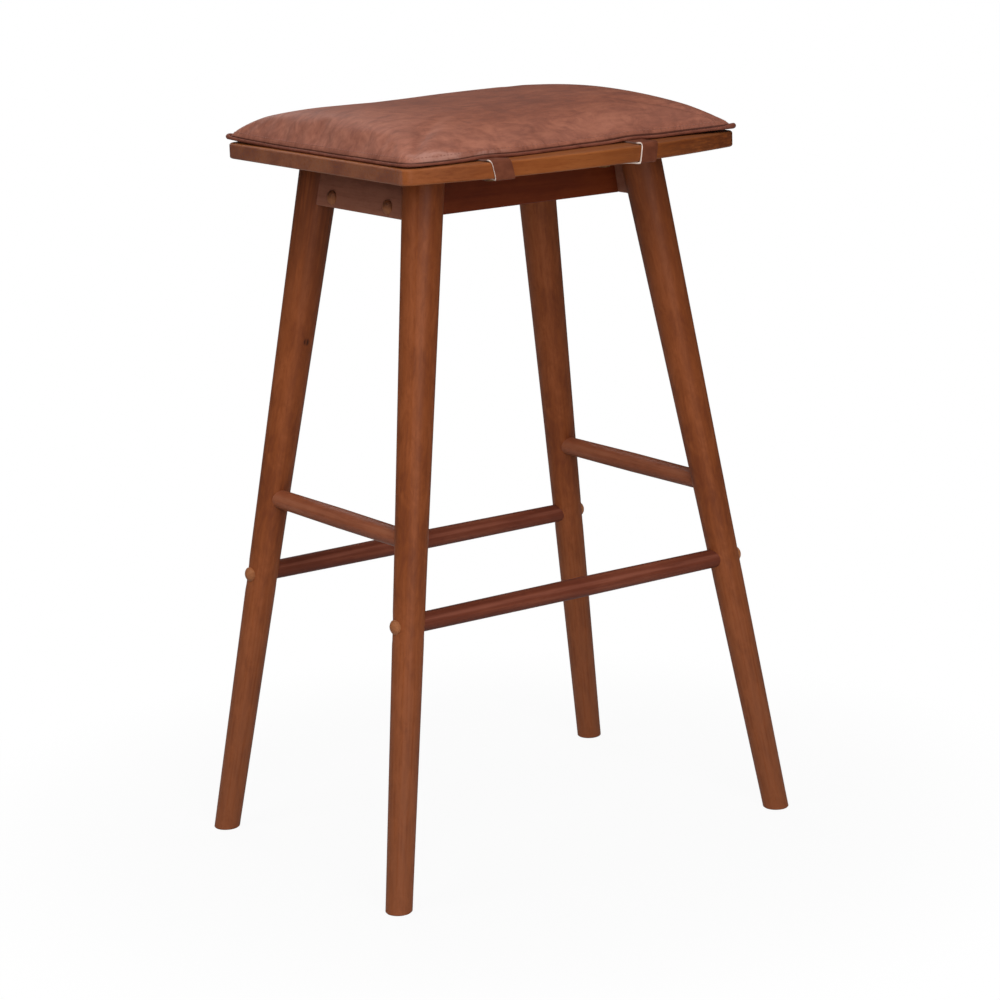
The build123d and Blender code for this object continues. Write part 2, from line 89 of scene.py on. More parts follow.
class Wire:
    """A socket of a material, with arithmetic that adds Math nodes."""

    def __init__(self, paint, socket):
        self.paint = paint
        self.socket = socket

    def math(self, operation, *values):
        return self.paint.node("ShaderNodeMath", {"operation": operation}, dict(enumerate(values)))

    def __add__(self, other):
        return self.math("ADD", self, other)

    def __radd__(self, other):
        return self.math("ADD", other, self)

    def __sub__(self, other):
        return self.math("SUBTRACT", self, other)

    def __rsub__(self, other):
        return self.math("SUBTRACT", other, self)

    def __mul__(self, other):
        return self.math("MULTIPLY", self, other)

    def __truediv__(self, other):
        return self.math("DIVIDE", self, other)

    def __abs__(self):
        return self.math("ABSOLUTE", self)

    def between(self, low, high):
        """0 below low and 1 above high, smooth between them."""
        settings = {"interpolation_type": "SMOOTHSTEP"}
        return self.paint.node("ShaderNodeMapRange", settings, {0: self, 1: low, 2: high})


class Paint:
    """One material and the nodes that are added to it."""

    def __init__(self, name):
        self.material = bpy.data.materials.new(name)
        self.material.use_nodes = True
        self.tree = self.material.node_tree
        self.shader = self.tree.nodes["Principled BSDF"]
        self.place = self.node("ShaderNodeTexCoord", output="Object")

    def node(self, kind, settings=None, inputs=None, output=0):
        """Any node: its settings first, then the values or wires of its sockets."""
        node = self.tree.nodes.new(kind)
        for name, value in (settings or {}).items():
            if name == "stops":
                ramp = node.color_ramp.elements
                while len(ramp) < len(value):
                    ramp.new(1)
                for stop, (position, colour) in zip(ramp, value):
                    stop.position = position
                    stop.color = colour
            else:
                setattr(node, name, value)
        self.join(node, inputs or {})
        return Wire(self, node.outputs[output])

    def join(self, node, inputs):
        """Links or sets a node's sockets."""
        for name, value in inputs.items():
            if isinstance(value, Wire):
                self.tree.links.new(value.socket, node.inputs[name])
            else:
                node.inputs[name].default_value = value

    def finish(self, **inputs):
        """Fills the shader's sockets and gives the material."""
        self.join(self.shader, {name.replace("_", " "): value for name, value in inputs.items()})
        return self.material

    def turned(self, origin, along, across):
        """Place on a piece, measured from origin, with X along the grain and Y across it."""
        x = along.normalized()
        z = x.cross(across).normalized()
        turn = Matrix((x, z.cross(x), z)).transposed().to_euler()
        sockets = {"Vector": self.place, "Location": origin, "Rotation": turn}
        return self.node("ShaderNodeMapping", {"vector_type": "TEXTURE"}, sockets)

    def stretched(self, place, *scale):
        return self.node("ShaderNodeMapping", {}, {"Vector": place, "Scale": scale})

    def parts_of(self, place):
        """X, Y and Z of a place."""
        split = self.tree.nodes.new("ShaderNodeSeparateXYZ")
        self.tree.links.new(place.socket, split.inputs[0])
        return [Wire(self, socket) for socket in split.outputs]

    def noise(self, place, scale=1, detail=3, roughness=0.5, distortion=0):
        sockets = {"Vector": place, "Scale": scale, "Detail": detail}
        sockets |= {"Roughness": roughness, "Distortion": distortion}
        return self.node("ShaderNodeTexNoise", {}, sockets)

    def cells(self, place, scale, settings=None):
        """Distance to the middle of a cell, or to its edge if the settings ask for that."""
        sockets = {"Vector": place, "Scale": scale}
        return self.node("ShaderNodeTexVoronoi", settings, sockets, "Distance")

    def distance(self, place, other):
        """Distance between two places."""
        return self.node("ShaderNodeVectorMath", {"operation": "DISTANCE"}, {0: place, 1: other}, "Value")

    def blend(self, amount, low, high):
        """Two colours mixed: low where amount is 0, high where it is 1."""
        return self.node("ShaderNodeMix", {"data_type": "RGBA"}, {0: amount, 6: low, 7: high}, 2)

    def ramp(self, value, *stops):
        """Colour that goes through the stops, each a position and a colour, as the value goes from 0 to 1."""
        return self.node("ShaderNodeValToRGB", {"stops": stops}, {0: value})

    def bump(self, height, depth, strength, **under):
        """Normal of a surface that rises by depth, in metres, where height is 1, over a given Normal if any."""
        sockets = {"Height": height, "Distance": depth, "Strength": strength}
        return self.node("ShaderNodeBump", {}, sockets | under)


def wood(name, origin, along, across, body, dark, light, figure=0.15, worn=None):
    """Stained and lacquered wood: soft clouds, fine fibres and, by figure, long streaks along the grain.

    The last argument gives the masks and tones of places that differ from the rest: marks of the wood itself,
    and painted light and shade.
    """
    paint = Paint(name)
    grain = paint.turned(origin, along, across)
    bands = paint.noise(paint.stretched(grain, 2.2, 70, 70), detail=4, roughness=0.6, distortion=0.4)
    fibres = paint.noise(paint.stretched(grain, 14, 420, 420), detail=4, roughness=0.6)
    pores = paint.noise(paint.stretched(grain, 70, 800, 800), detail=2)
    stain = paint.noise(paint.stretched(grain, 6, 14, 14), detail=3)
    mottle = paint.noise(paint.stretched(grain, 30, 80, 80), detail=6, roughness=0.7, distortion=0.6)
    pore_mask = pores.between(0.58, 0.72)
    streaks = bands * figure + fibres * 0.15 + stain * 0.35 + mottle * (0.6 - figure) - 0.05
    colour = paint.ramp(streaks.between(0.33, 0.67), (0, dark), (0.5, body), (1, light))
    colour = paint.blend(pore_mask * 0.4, colour, dark)
    if worn:
        for mask, tone in worn(paint):
            colour = paint.blend(mask * fibres.between(0.2, 0.6), colour, tone)
    height = fibres * 0.6 - pore_mask * 0.6 + bands * 0.3
    roughness = 0.42 + fibres * 0.1 + pore_mask * 0.12
    normal = paint.bump(height, mm(0.1), 0.4)
    paint.shader.inputs["Specular IOR Level"].default_value = 0.14
    return paint.finish(Base_Color=colour, Roughness=roughness, Normal=normal)


# Woods

leg_tones = dict(body=srgb(129, 67, 33), dark=srgb(106, 52, 27), light=srgb(146, 80, 44))
side_rail_tones = dict(body=srgb(138, 88, 69), dark=srgb(116, 71, 54), light=srgb(146, 96, 75), figure=0.3)
# Long rails: a darker, redder stain, and painted shade from the board above them
long_rail_stain_and_shade_tones = dict(body=srgb(92, 35, 12), dark=srgb(78, 27, 9), light=srgb(106, 45, 18), figure=0.35)
side_stretcher_tones = dict(body=srgb(143, 79, 52), dark=srgb(118, 63, 40), light=srgb(160, 96, 66), figure=0.3)
long_stretcher_tones = dict(body=srgb(109, 54, 37), dark=srgb(84, 38, 25), light=srgb(134, 74, 53), figure=0.5)
board_tones = dict(body=srgb(129, 67, 28), dark=srgb(106, 51, 20), light=srgb(145, 82, 40), figure=0.42)
cap_tones = dict(body=srgb(156, 98, 62), dark=srgb(138, 84, 52), light=srgb(172, 114, 76))
# Rail caps: the caps' wood made darker as painted shade, since they sit under the board
rail_cap_shaded_tones = dict(body=srgb(138, 86, 54), dark=srgb(120, 73, 45), light=srgb(154, 100, 66))

foot_x, foot_y, top_x, top_y, top_z = 244.5, 167, 133, 93.5, 717
rail_cap_height = 681
side_stretcher_height = 362
long_stretcher_height = 281
board_middle = 725
knot = mm(-161, 94.5, 528)

along_x, along_y, upright = Vector((1, 0, 0)), Vector((0, 1, 0)), Vector((0, 0, 1))


def lay_wood(node, name, *where, **look):
    """Makes a wood and gives it to a node."""
    skin(node, wood(name, *where, **look))


def skin(node, material):
    """Gives a node of the frame its material."""
    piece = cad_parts[node]
    piece.data.materials.clear()
    piece.data.materials.append(material)


def leg_look(shade, has_knot=False):
    """Legs get painted shade, darker under the seat where the board's shadow falls, and are paler by the feet.
    One has a small dark knot.
    """
    def looks(paint):
        x, y, z = paint.parts_of(paint.place)
        # Painted shade under the seat, where the board shades the legs
        seat_shadow = z.between(mm(500), mm(680))
        by_foot = 1 - z.between(mm(60), mm(400))
        tones = [(seat_shadow * shade, srgb(92, 46, 24)), (by_foot * 0.45, srgb(136, 84, 58))]
        if has_knot:
            tones.append((1 - paint.distance(paint.place, knot).between(mm(1.8), mm(5.2)), srgb(44, 20, 10)))
        return tones
    return looks


# How strongly each leg gets the painted shade under the seat
leg_looks = {
    "front_left": leg_look(0.15),
    "front_right": leg_look(0.5),
    "back_left": leg_look(0.85, has_knot=True),
    "back_right": leg_look(0),
}


def rod_look(height, dark, light):
    """Rods with painted shade on their lower side and a painted highlight, a paler band, above the middle."""
    def looks(paint):
        x, y, z = paint.parts_of(paint.place)
        # Painted shade on the lower side, and a painted highlight above the middle
        below = 1 - z.between(mm(height - 9.5), mm(height - 1))
        highlight_band = z.between(mm(height + 1.5), mm(height + 4)) * (1 - z.between(mm(height + 5), mm(height + 7.5)))
        return [(below * 0.75, dark), (highlight_band * 0.5, light)]
    return looks


# Colours of the painted shade below and the painted highlight above on the stretchers
side_stretcher_look = rod_look(side_stretcher_height, srgb(96, 52, 35), srgb(158, 98, 72))
long_stretcher_look = rod_look(long_stretcher_height, srgb(74, 32, 23), srgb(146, 86, 68))

for side, x_sign in (("left", -1), ("right", 1)):
    for row, y_sign in (("front", -1), ("back", 1)):
        foot = mm(x_sign * foot_x, y_sign * foot_y, 0)
        top = mm(x_sign * top_x, y_sign * top_y, top_z)
        look = leg_looks[f"{row}_{side}"]
        lay_wood(
            f"leg_{row}_{side}", f"{row} {side} leg wood",
            foot, top - foot, along_x, worn=look, **leg_tones,
        )
    lay_wood(
        f"side_rail_{side}", f"{side} side rail wood",
        mm(x_sign * 140, -90, 690), along_y, upright, **side_rail_tones,
    )
    lay_wood(
        f"side_stretcher_{side}", f"{side} side stretcher wood",
        mm(x_sign * 188, -140, side_stretcher_height), along_y, upright,
        worn=side_stretcher_look, **side_stretcher_tones,
    )

for row, y_sign in (("front", -1), ("back", 1)):
    lay_wood(
        f"long_rail_{row}", f"{row} long rail wood",
        mm(-130, y_sign * 51, 690), along_x, upright, **long_rail_stain_and_shade_tones,
    )
    lay_wood(
        f"long_stretcher_{row}", f"{row} long stretcher wood",
        mm(-190, y_sign * 138, long_stretcher_height), along_x, upright,
        worn=long_stretcher_look, **long_stretcher_tones,
    )


def board_looks(paint):
    """A board with painted shade that makes it darker at its right, paler towards its left, with blotched ends,
    and with a painted highlight on the arrises.
    """
    x, y, z = paint.parts_of(paint.place)
    # Painted highlight where the rounded arrises catch the light
    arris_highlight = abs(z - mm(board_middle)).between(mm(5.6), mm(7.6))
    blotches = paint.noise(paint.place, 30, detail=5, roughness=0.65)
    blotched = paint.ramp(blotches.between(0.35, 0.65), (0, srgb(106, 65, 55)), (1, srgb(133, 86, 65)))
    ends = abs(x).between(mm(201.6), mm(202.8))
    return [
        # Painted shade, darker towards the right end
        (x.between(mm(-60), mm(190)) * 0.85, srgb(87, 42, 20)),
        ((1 - x.between(mm(-185), mm(-60))) * 0.5, srgb(148, 84, 46)),
        (ends * 0.9, blotched),
        (arris_highlight * 0.25, srgb(156, 98, 58)),
    ]


lay_wood(
    "seat_board", "seat board wood",
    mm(-200, 0, board_middle), along_x, along_y, worn=board_looks, **board_tones,
)


def cap_shade(paint):
    """Painted shade that darkens the rail caps' upper sides, which lie in the shadow under the board."""
    x, y, z = paint.parts_of(paint.place)
    upper = z.between(mm(rail_cap_height - 2.5), mm(rail_cap_height + 4.5))
    return [(upper * 0.9, srgb(78, 40, 25))]


dowel_tones = dict(body=srgb(205, 170, 120), dark=srgb(185, 148, 100), light=srgb(220, 188, 142))
small_grain = (mm(0, 0, 700), along_x, upright)
lay_wood("rail_bolt_caps", "rail cap wood", *small_grain, worn=cap_shade, **rail_cap_shaded_tones)
lay_wood("stretcher_bolt_caps", "stretcher cap wood", *small_grain, **cap_tones)
lay_wood("rail_dowels", "dowel wood", mm(0, 0, 703), along_x, upright, **dowel_tones)


# Metals

def metal(name, colour, tarnish, roughness):
    """Plain metal with a little tarnish."""
    paint = Paint(name)
    cloud = paint.noise(paint.place, 260, detail=4).between(0.35, 0.7)
    scratches = paint.noise(paint.stretched(paint.place, 300, 2600, 900), detail=2)
    base = paint.blend(cloud * 0.6, colour, tarnish)
    rough = roughness + cloud * 0.2 + scratches * 0.08
    normal = paint.bump(scratches, mm(0.02), 0.4)
    return paint.finish(Base_Color=base, Roughness=rough, Normal=normal, Metallic=1)


zinc = metal("zinc-plated steel", srgb(176, 178, 182), srgb(120, 118, 112), 0.32)
brass = metal("antique brass", srgb(122, 90, 56), srgb(66, 46, 30), 0.36)
for node in ("rail_bolts", "stretcher_bolts", "seat_screws"):
    skin(node, zinc)
for node in ("rail_inserts", "stretcher_inserts", "press_studs"):
    skin(node, brass)
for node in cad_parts:
    if node.startswith("press_socket"):
        skin(node, brass)


# Leathers

def hide(name, body, dark, pale, grain=1, seam=None):
    """Waxed pull-up leather: cloudy colour, fine grain and soft creases, and what seam adds along a seam."""
    paint = Paint(name)
    place = paint.place
    clouds = paint.noise(place, 10, detail=4, roughness=0.55, distortion=0.6)
    mottle = paint.noise(place, 46, detail=6, roughness=0.65, distortion=1.1)
    brushed = paint.noise(paint.stretched(place, 34, 95, 80), detail=5, roughness=0.65, distortion=0.9)
    tone = (clouds * 0.3 + mottle * 0.45 + brushed * 0.4 - 0.075).between(0.33, 0.68)
    colour = paint.ramp(tone, (0, dark), (0.5, body), (1, pale))
    pebbles = paint.cells(place, 900)
    pits = paint.noise(place, 2300, detail=2)
    creases = paint.cells(paint.stretched(place, 60, 95, 80), 1, {"feature": "DISTANCE_TO_EDGE"})
    crease_mask = (1 - creases.between(0, 0.05)) * mottle.between(0.45, 0.65)
    # Painted shade: the creases are darkened as well as sunk
    colour = paint.blend(crease_mask * 0.3, colour, dark)
    rough = 0.58 + mottle * 0.12 - pebbles * 0.06
    height = pebbles * 0.5 + pits * 0.35 - crease_mask * 0.9
    normal = paint.bump(height, mm(0.14) * grain, 0.55)
    if seam:
        colour, normal = seam(paint, tone, colour, normal, brushed)
    paint.shader.inputs["Specular IOR Level"].default_value = 0.16
    return paint.finish(Base_Color=colour, Roughness=rough, Normal=normal)


def seam_marks(paint, tone, colour, normal, brushed):
    """Painted light that makes the leather paler on the slopes and at the left, and marks along the seam.

    The marks are painted shade in the crevice where the panel meets the piping, puckers with painted shade in
    their hollows and, near the front's left end, leather that is rubbed pale.
    """
    seam_map = paint.node("ShaderNodeUVMap", {"uv_map": "seam_map"})
    off = paint.parts_of(seam_map)[1]
    x, y, z = paint.parts_of(paint.place)

    # Painted light: paler leather on the slopes and at the left end, standing in for light falling there
    painted_light_tones = paint.ramp(tone, (0, srgb(132, 81, 66)), (0.5, srgb(154, 98, 80)), (1, srgb(174, 114, 93)))
    at_left = 1 - x.between(mm(-170), mm(-60))
    on_slopes = 1 - off.between(mm(20), mm(75))
    colour = paint.blend(at_left * 0.6, colour, painted_light_tones)
    colour = paint.blend(on_slopes * 0.42, colour, painted_light_tones)

    front = 1 - y.between(mm(-145), mm(-135))
    reach = mm(6) + (1 - x.between(mm(-168), mm(-120))) * mm(8)
    stretch = x.between(mm(-196), mm(-180)) * (1 - x.between(mm(-100), mm(-60)))
    band = (1 - (off / reach).between(0.72, 1.1)) * front * stretch
    rubbed = band * (0.15 + brushed.between(0.4, 0.62) * 0.65)
    colour = paint.blend(rubbed, colour, srgb(172, 126, 112))

    puckers = paint.noise(paint.stretched(seam_map, 210, 70, 1), detail=4, roughness=0.6, distortion=0.4)
    near = (1 - off.between(mm(4), mm(15))) * (0.3 + front * 0.7)
    # Painted shade in the hollows of the puckers, stronger at the front
    colour = paint.blend(near * (1 - puckers.between(0.36, 0.5)) * 0.35, colour, srgb(96, 50, 38))

    # Painted shade: a dark line in the crevice where the panel meets the piping
    depth = mm(1.5) + x.between(mm(-150), mm(100)) * mm(0.8)
    crevice_shade = 1 - (off - depth).between(0, mm(1.1))
    colour = paint.blend(crevice_shade * 0.8, colour, srgb(56, 25, 18))
    return colour, paint.bump(puckers * near, mm(1.1), 0.7, Normal=normal)


cushion_tones = dict(body=srgb(134, 79, 61), dark=srgb(115, 68, 54), pale=srgb(151, 92, 70))
piping_tones = dict(body=srgb(118, 66, 50), dark=srgb(98, 53, 40), pale=srgb(134, 80, 62))
strap_tones = dict(body=srgb(102, 53, 34), dark=srgb(88, 43, 27), pale=srgb(117, 63, 42))
cushion_hide = hide("cushion leather", seam=seam_marks, **cushion_tones)
piping_hide = hide("piping leather", grain=0.7, **piping_tones)
strap_hide = hide("strap leather", grain=0.6, **strap_tones)


def raw_edge():
    """Cut edge of undyed leather, with its fibres, darker where it lies on or under the board."""
    paint = Paint("raw leather edge")
    x, y, z = paint.parts_of(paint.place)
    fibres = paint.noise(paint.stretched(paint.place, 900, 900, 1800), detail=4, roughness=0.7)
    colour = paint.ramp(fibres.between(0.3, 0.7), (0, srgb(230, 205, 190)), (1, srgb(250, 238, 228)))
    on_board = (1 - abs(y).between(mm(176), mm(182))) * z.between(mm(730), mm(732))
    below = (1 - abs(y).between(mm(162), mm(174))) * (1 - z.between(mm(715), mm(716)))
    colour = paint.blend((on_board + below) * 0.92, colour, srgb(92, 50, 36))
    normal = paint.bump(fibres, mm(0.1), 0.6)
    return paint.finish(Base_Color=colour, Roughness=0.85, Normal=normal)


def thread():
    """Waxed thread with a twist."""
    paint = Paint("waxed thread")
    twist = paint.noise(paint.stretched(paint.place, 2400, 2400, 2400), detail=2)
    colour = paint.ramp(twist, (0.3, srgb(122, 73, 57)), (0.7, srgb(153, 99, 82)))
    return paint.finish(Base_Color=colour, Roughness=0.6, Normal=paint.bump(twist, mm(0.05), 0.6))


raw_leather = raw_edge()
waxed_thread = thread()


# Tools for new pieces

def piece_from(name, mesh_tool, *materials):
    """Object at the origin from a bmesh, its faces pointing outwards."""
    bmesh.ops.recalc_face_normals(mesh_tool, faces=mesh_tool.faces)
    mesh = bpy.data.meshes.new(name)
    mesh_tool.to_mesh(mesh)
    mesh_tool.free()
    for material in materials:
        mesh.materials.append(material)
    for face in mesh.polygons:
        face.use_smooth = True
    piece = bpy.data.objects.new(name, mesh)
    scene.collection.objects.link(piece)
    return piece


def smooth_through(values, share):
    """Value at a share of the way through evenly spaced values, on a smooth curve."""
    count = len(values) - 1
    at = share * count
    start = min(int(at), count - 1)
    t = at - start
    a, b, c, d = (values[max(0, min(start + step, count))] for step in (-1, 0, 1, 2))
    slope_in = (c - a) / 2
    slope_out = (d - b) / 2
    bend = 3 * (c - b) - 2 * slope_in - slope_out
    twist = 2 * (b - c) + slope_in + slope_out
    return b + t * (slope_in + t * (bend + t * twist))


# Cushion. Its seam: distance from the middle on each side, and lift at its edge, from left to right
# on the front and back, and from front to back on the left and right

front_seam = (166, 164, 162, 161, 158, 156, 155, 158, 172)
back_seam = (174, 164, 161, 160, 159, 160, 161, 164, 172)
left_seam = (198, 197, 196, 196, 195, 195, 195, 196, 200)
right_seam = (201, 197, 196, 196, 196, 196, 196, 197, 200)
front_lift = (1.2, 0.4, 0, 0, 0, 0, 0.2, 1.2, 3.6)
back_lift = (3.4, 1.4, 0.3, 0, 0, 0, 0.3, 1.4, 3.4)
left_lift = (1.2, 0.4, 0.2, 0, 0, 0, 0.4, 1.4, 3.6)
right_lift = (3.6, 1.5, 0.4, 0, 0, 0, 0.4, 1.4, 3.4)
seam_height = 735.3
seam_roll = 2.4
bottom_height = 735.2
half_depth = 180
crown_height = 34
crown_peak = 773.8
ridge_lift = (5, 2.6, -1, -1.7, -1.2, 0.2, 1.2, 2, 1)  # after the cloth, from left to right
strap_places = {"left": -100.5, "right": 70.5}
strap_lift = 1.5
strap_lift_reach = 24
corner_sharpness = 26


def in_square(u, v):
    """Moves a point of a square into one with slightly rounded corners."""
    reach = max(abs(u), abs(v))
    if reach == 0:
        return 0, 0
    shrink = reach / ((abs(u) ** corner_sharpness + abs(v) ** corner_sharpness) ** (1 / corner_sharpness))
    return u * shrink, v * shrink


def seam_place(u, v):
    """Point on the seam's level at u and v, each from -1 to 1 across the cushion.

    It is lifted towards the edge, and over the straps, which run out to the edge at a slant.
    """
    u, v = in_square(u, v)
    along_u, along_v = (u + 1) / 2, (v + 1) / 2
    x = (smooth_through(right_seam, along_v) * (1 + u) - smooth_through(left_seam, along_v) * (1 - u)) / 2
    y = (smooth_through(back_seam, along_u) * (1 + v) - smooth_through(front_seam, along_u) * (1 - v)) / 2
    lift_v = smooth_through(back_lift, along_u) * (1 + v) + smooth_through(front_lift, along_u) * (1 - v)
    lift_u = smooth_through(right_lift, along_v) * (1 + u) + smooth_through(left_lift, along_v) * (1 - u)
    edge = max(abs(u), abs(v))
    lift = lift_v / 2 if abs(v) > abs(u) else lift_u / 2
    for strap_x in strap_places.values():
        lift += strap_lift * exp(-((x - 1.07 * strap_x) / strap_lift_reach) ** 2) * abs(v) ** 8
    return Vector((x, y, seam_height + lift * edge ** 6))


def from_edge(u, v):
    """Level distance in from the seam, roughly."""
    return min(1 - abs(u), 1 - abs(v)) * half_depth


def crown(u, v):
    """Height over the seam: a gentle crown, pinched at the corners, that rolls over just above the seam."""
    length_part = max(0, 1 - abs(u) ** 7.9) ** 0.5
    depth_part = max(0, 1 - abs(v) ** 1.85) ** 0.42
    pinch = 1 - (0.8 if u > 0 else 0.35) * abs(u * v) ** 10
    return crown_height * length_part * depth_part * pinch + seam_roll * (1 - exp(-from_edge(u, v) / 2))


def spread_out(share):
    """Places more rows near the edges, where the crown falls away."""
    return sin(share * pi / 2)


def pad():
    """Closed cushion cover: a crowned top panel and a flat bottom panel that meet at the seam."""
    mesh_tool = bmesh.new()
    bmesh.ops.create_grid(mesh_tool, x_segments=92, y_segments=78, size=1)
    seam_map = mesh_tool.loops.layers.uv.new("seam_map")
    for face in mesh_tool.faces:
        middle = face.calc_center_median()
        for loop in face.loops:
            u, v = spread_out(loop.vert.co.x), spread_out(loop.vert.co.y)
            place = seam_place(u, v)
            along = place.x if abs(middle.y) > abs(middle.x) else place.y
            off = sqrt(from_edge(u, v) ** 2 + crown(u, v) ** 2)
            loop[seam_map].uv = mm(along, off, 0).xy
    top = list(mesh_tool.verts)
    copy = bmesh.ops.duplicate(mesh_tool, geom=mesh_tool.faces[:])
    bottom = [item for item in copy["geom"] if isinstance(item, bmesh.types.BMVert)]
    for vert in top:
        u, v = spread_out(vert.co.x), spread_out(vert.co.y)
        place = seam_place(u, v)
        place.z += crown(u, v)
        vert.co = mm(*place)
    for vert in bottom:
        u, v = spread_out(vert.co.x), spread_out(vert.co.y)
        place = seam_place(u, v)
        edge = max(abs(u), abs(v))
        place.z -= (place.z - bottom_height) * (1 - edge ** 10)
        vert.co = mm(*place)
    bmesh.ops.remove_doubles(mesh_tool, verts=mesh_tool.verts, dist=mm(0.05))
    return piece_from("cushion_cover", mesh_tool, cushion_hide)


held_above_seam = 6
crown_above_seam = 8
cloth_steps = 20


def swell(piece, pressure, growth, most):
    """Fills the cushion: cloth under pressure, held along the seam and underneath.

    No point moves further than most. Then the crown is squeezed to its peak and its ridge gets its lift.
    """
    mesh = piece.data
    start = [vert.co.copy() for vert in mesh.vertices]
    held = piece.vertex_groups.new(name="held")
    for vert in mesh.vertices:
        if vert.co.z < mm(seam_height + held_above_seam):
            held.add([vert.index], 1, "REPLACE")
    cloth = piece.modifiers.new("cloth", "CLOTH")
    settings = cloth.settings
    settings.quality = 6
    settings.mass = 0.4
    settings.tension_stiffness = 20
    settings.compression_stiffness = 12
    settings.shear_stiffness = 8
    settings.bending_stiffness = 1.5
    settings.air_damping = 3
    settings.use_pressure = True
    settings.uniform_pressure_force = pressure
    settings.shrink_min = -growth
    settings.vertex_group_mass = "held"
    settings.effector_weights.gravity = 0
    cloth.collision_settings.use_collision = False
    cloth.point_cache.frame_start = 1
    cloth.point_cache.frame_end = cloth_steps
    for step in range(1, cloth_steps + 1):
        scene.frame_set(step)
    shown = piece.evaluated_get(bpy.context.evaluated_depsgraph_get())
    moved = [vert.co.copy() for vert in shown.data.vertices]
    scene.frame_set(1)
    piece.modifiers.remove(cloth)
    piece.vertex_groups.remove(held)
    for vert, before, after in zip(mesh.vertices, start, moved):
        step = after - before
        if step.length > mm(most):
            step *= mm(most) / step.length
        vert.co = before + step
    peak = max(vert.co.z for vert in mesh.vertices)
    foot = mm(seam_height + crown_above_seam)
    squeeze = mm(crown_peak - seam_height - crown_above_seam) / (peak - foot)
    for vert in mesh.vertices:
        over = vert.co.z - foot
        if over > 0:
            share = min(1, max(0, vert.co.x / mm(400) + 0.5))
            lift = smooth_through(ridge_lift, share) * min(1, over / mm(14))
            vert.co.z += mm(lift) - over * (1 - squeeze)


cushion = pad()
swell(cushion, pressure=0.5, growth=0.003, most=12)
finer = cushion.modifiers.new("finer", "SUBSURF")
finer.levels = 1
finer.render_levels = 1
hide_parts("cushion_top_panel", "cushion_bottom_panel", "cushion_foam")
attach(cushion, "stool")


# Piping and stitches along the seam

def round_seam(count):
    """Points along the seam, one circuit from its front left corner, as many on each side."""
    points = []
    for index in range(count):
        at = 8 * index / count
        side, t = divmod(at, 2)
        t -= 1
        u, v = ((t, -1), (1, t), (-t, 1), (-1, -t))[int(side)]
        points.append(seam_place(u, v))
    return points


def outward(points, index):
    """Level direction away from the cushion at a point of the seam."""
    run = points[(index + 1) % len(points)] - points[index - 1]
    return Vector((run.y, -run.x, 0)).normalized()


def tube(name, points, radius, swelling, material):
    """Closed round tube through points, its radius scaled by the swelling at each point."""
    curve = bpy.data.curves.new(name, "CURVE")
    curve.dimensions = "3D"
    spline = curve.splines.new("NURBS")
    spline.points.add(len(points) - 1)
    for point, place, growth in zip(spline.points, points, swelling):
        point.co = (*mm(*place), 1)
        point.radius = growth
    spline.use_cyclic_u = True
    spline.order_u = 4
    spline.resolution_u = 3
    curve.bevel_depth = mm(radius)
    curve.bevel_resolution = 5
    holder = bpy.data.objects.new(name, curve)
    scene.collection.objects.link(holder)
    mesh = bpy.data.meshes.new_from_object(holder.evaluated_get(bpy.context.evaluated_depsgraph_get()))
    bpy.data.objects.remove(holder)
    mesh_tool = bmesh.new()
    mesh_tool.from_mesh(mesh)
    bpy.data.meshes.remove(mesh)
    bmesh.ops.remove_doubles(mesh_tool, verts=mesh_tool.verts, dist=mm(0.01))
    return piece_from(name, mesh_tool, material)


side_count = 72
seam = round_seam(4 * side_count)
piping_radius = 1.65
piping_sink = 0.45
piping_sway = 0.15
sway_length = 26
ear_length = 2.2
ear_growth = 0.75
near_corner_thinning = 0.3

piping_line, piping_swelling = [], []
for index, point in enumerate(seam):
    sway = wobble(point / sway_length) * piping_sway
    from_corner = min(index % side_count, side_count - index % side_count)
    near_corner = exp(-((point.x + 178) / 26) ** 2 - ((point.y + 158) / 20) ** 2)
    ear = exp(-(from_corner / ear_length) ** 2) * (1 - near_corner)
    out = outward(seam, index) * (piping_radius + 0.1 + ear)
    piping_line.append(point + out + Vector((0, 0, sway - piping_sink + ear)))
    piping_swelling.append(1 + ear_growth * ear - near_corner_thinning * near_corner)
piping = tube("cushion_piping_cover", piping_line, piping_radius, piping_swelling, piping_hide)
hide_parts("cushion_piping")
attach(piping, "stool")

stitch_length, stitch_width, stitch_height = 2.9, 0.84, 0.6
stitch_step = 4.3
stitch_in, stitch_up = 3, 5.6


def stitches():
    """Row of stitches in the top panel, just above the piping."""
    bpy.context.view_layer.update()
    surface = BVHTree.FromObject(cushion, bpy.context.evaluated_depsgraph_get())
    mesh_tool = bmesh.new()
    gone = stitch_step
    for index in range(len(seam)):
        here, following = seam[index], seam[(index + 1) % len(seam)]
        run = following - here
        while gone < run.length:
            away = outward(seam, index)
            aim = here + run * (gone / run.length) - away * stitch_in + Vector((0, 0, stitch_up))
            place, normal = surface.find_nearest(mm(*aim))[:2]
            along = run.normalized()
            across = normal.cross(along).normalized()
            turn = Matrix((along, across, normal)).transposed().to_4x4()
            size = Matrix.Diagonal((*mm(stitch_length / 2, stitch_width / 2, stitch_height / 2), 1))
            lying = Matrix.Rotation(pi / 2, 4, "Y")
            seat = Matrix.Translation(place + normal * mm(0.05)) @ turn @ size @ lying
            bmesh.ops.create_uvsphere(mesh_tool, u_segments=8, v_segments=6, radius=1, matrix=seat)
            gone += stitch_step
        gone -= run.length
    return piece_from("cushion_stitches", mesh_tool, waxed_thread)


stitch_row = stitches()
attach(stitch_row, "stool")


# Straps: a run over the board's edge and a tail below, in one piece of leather

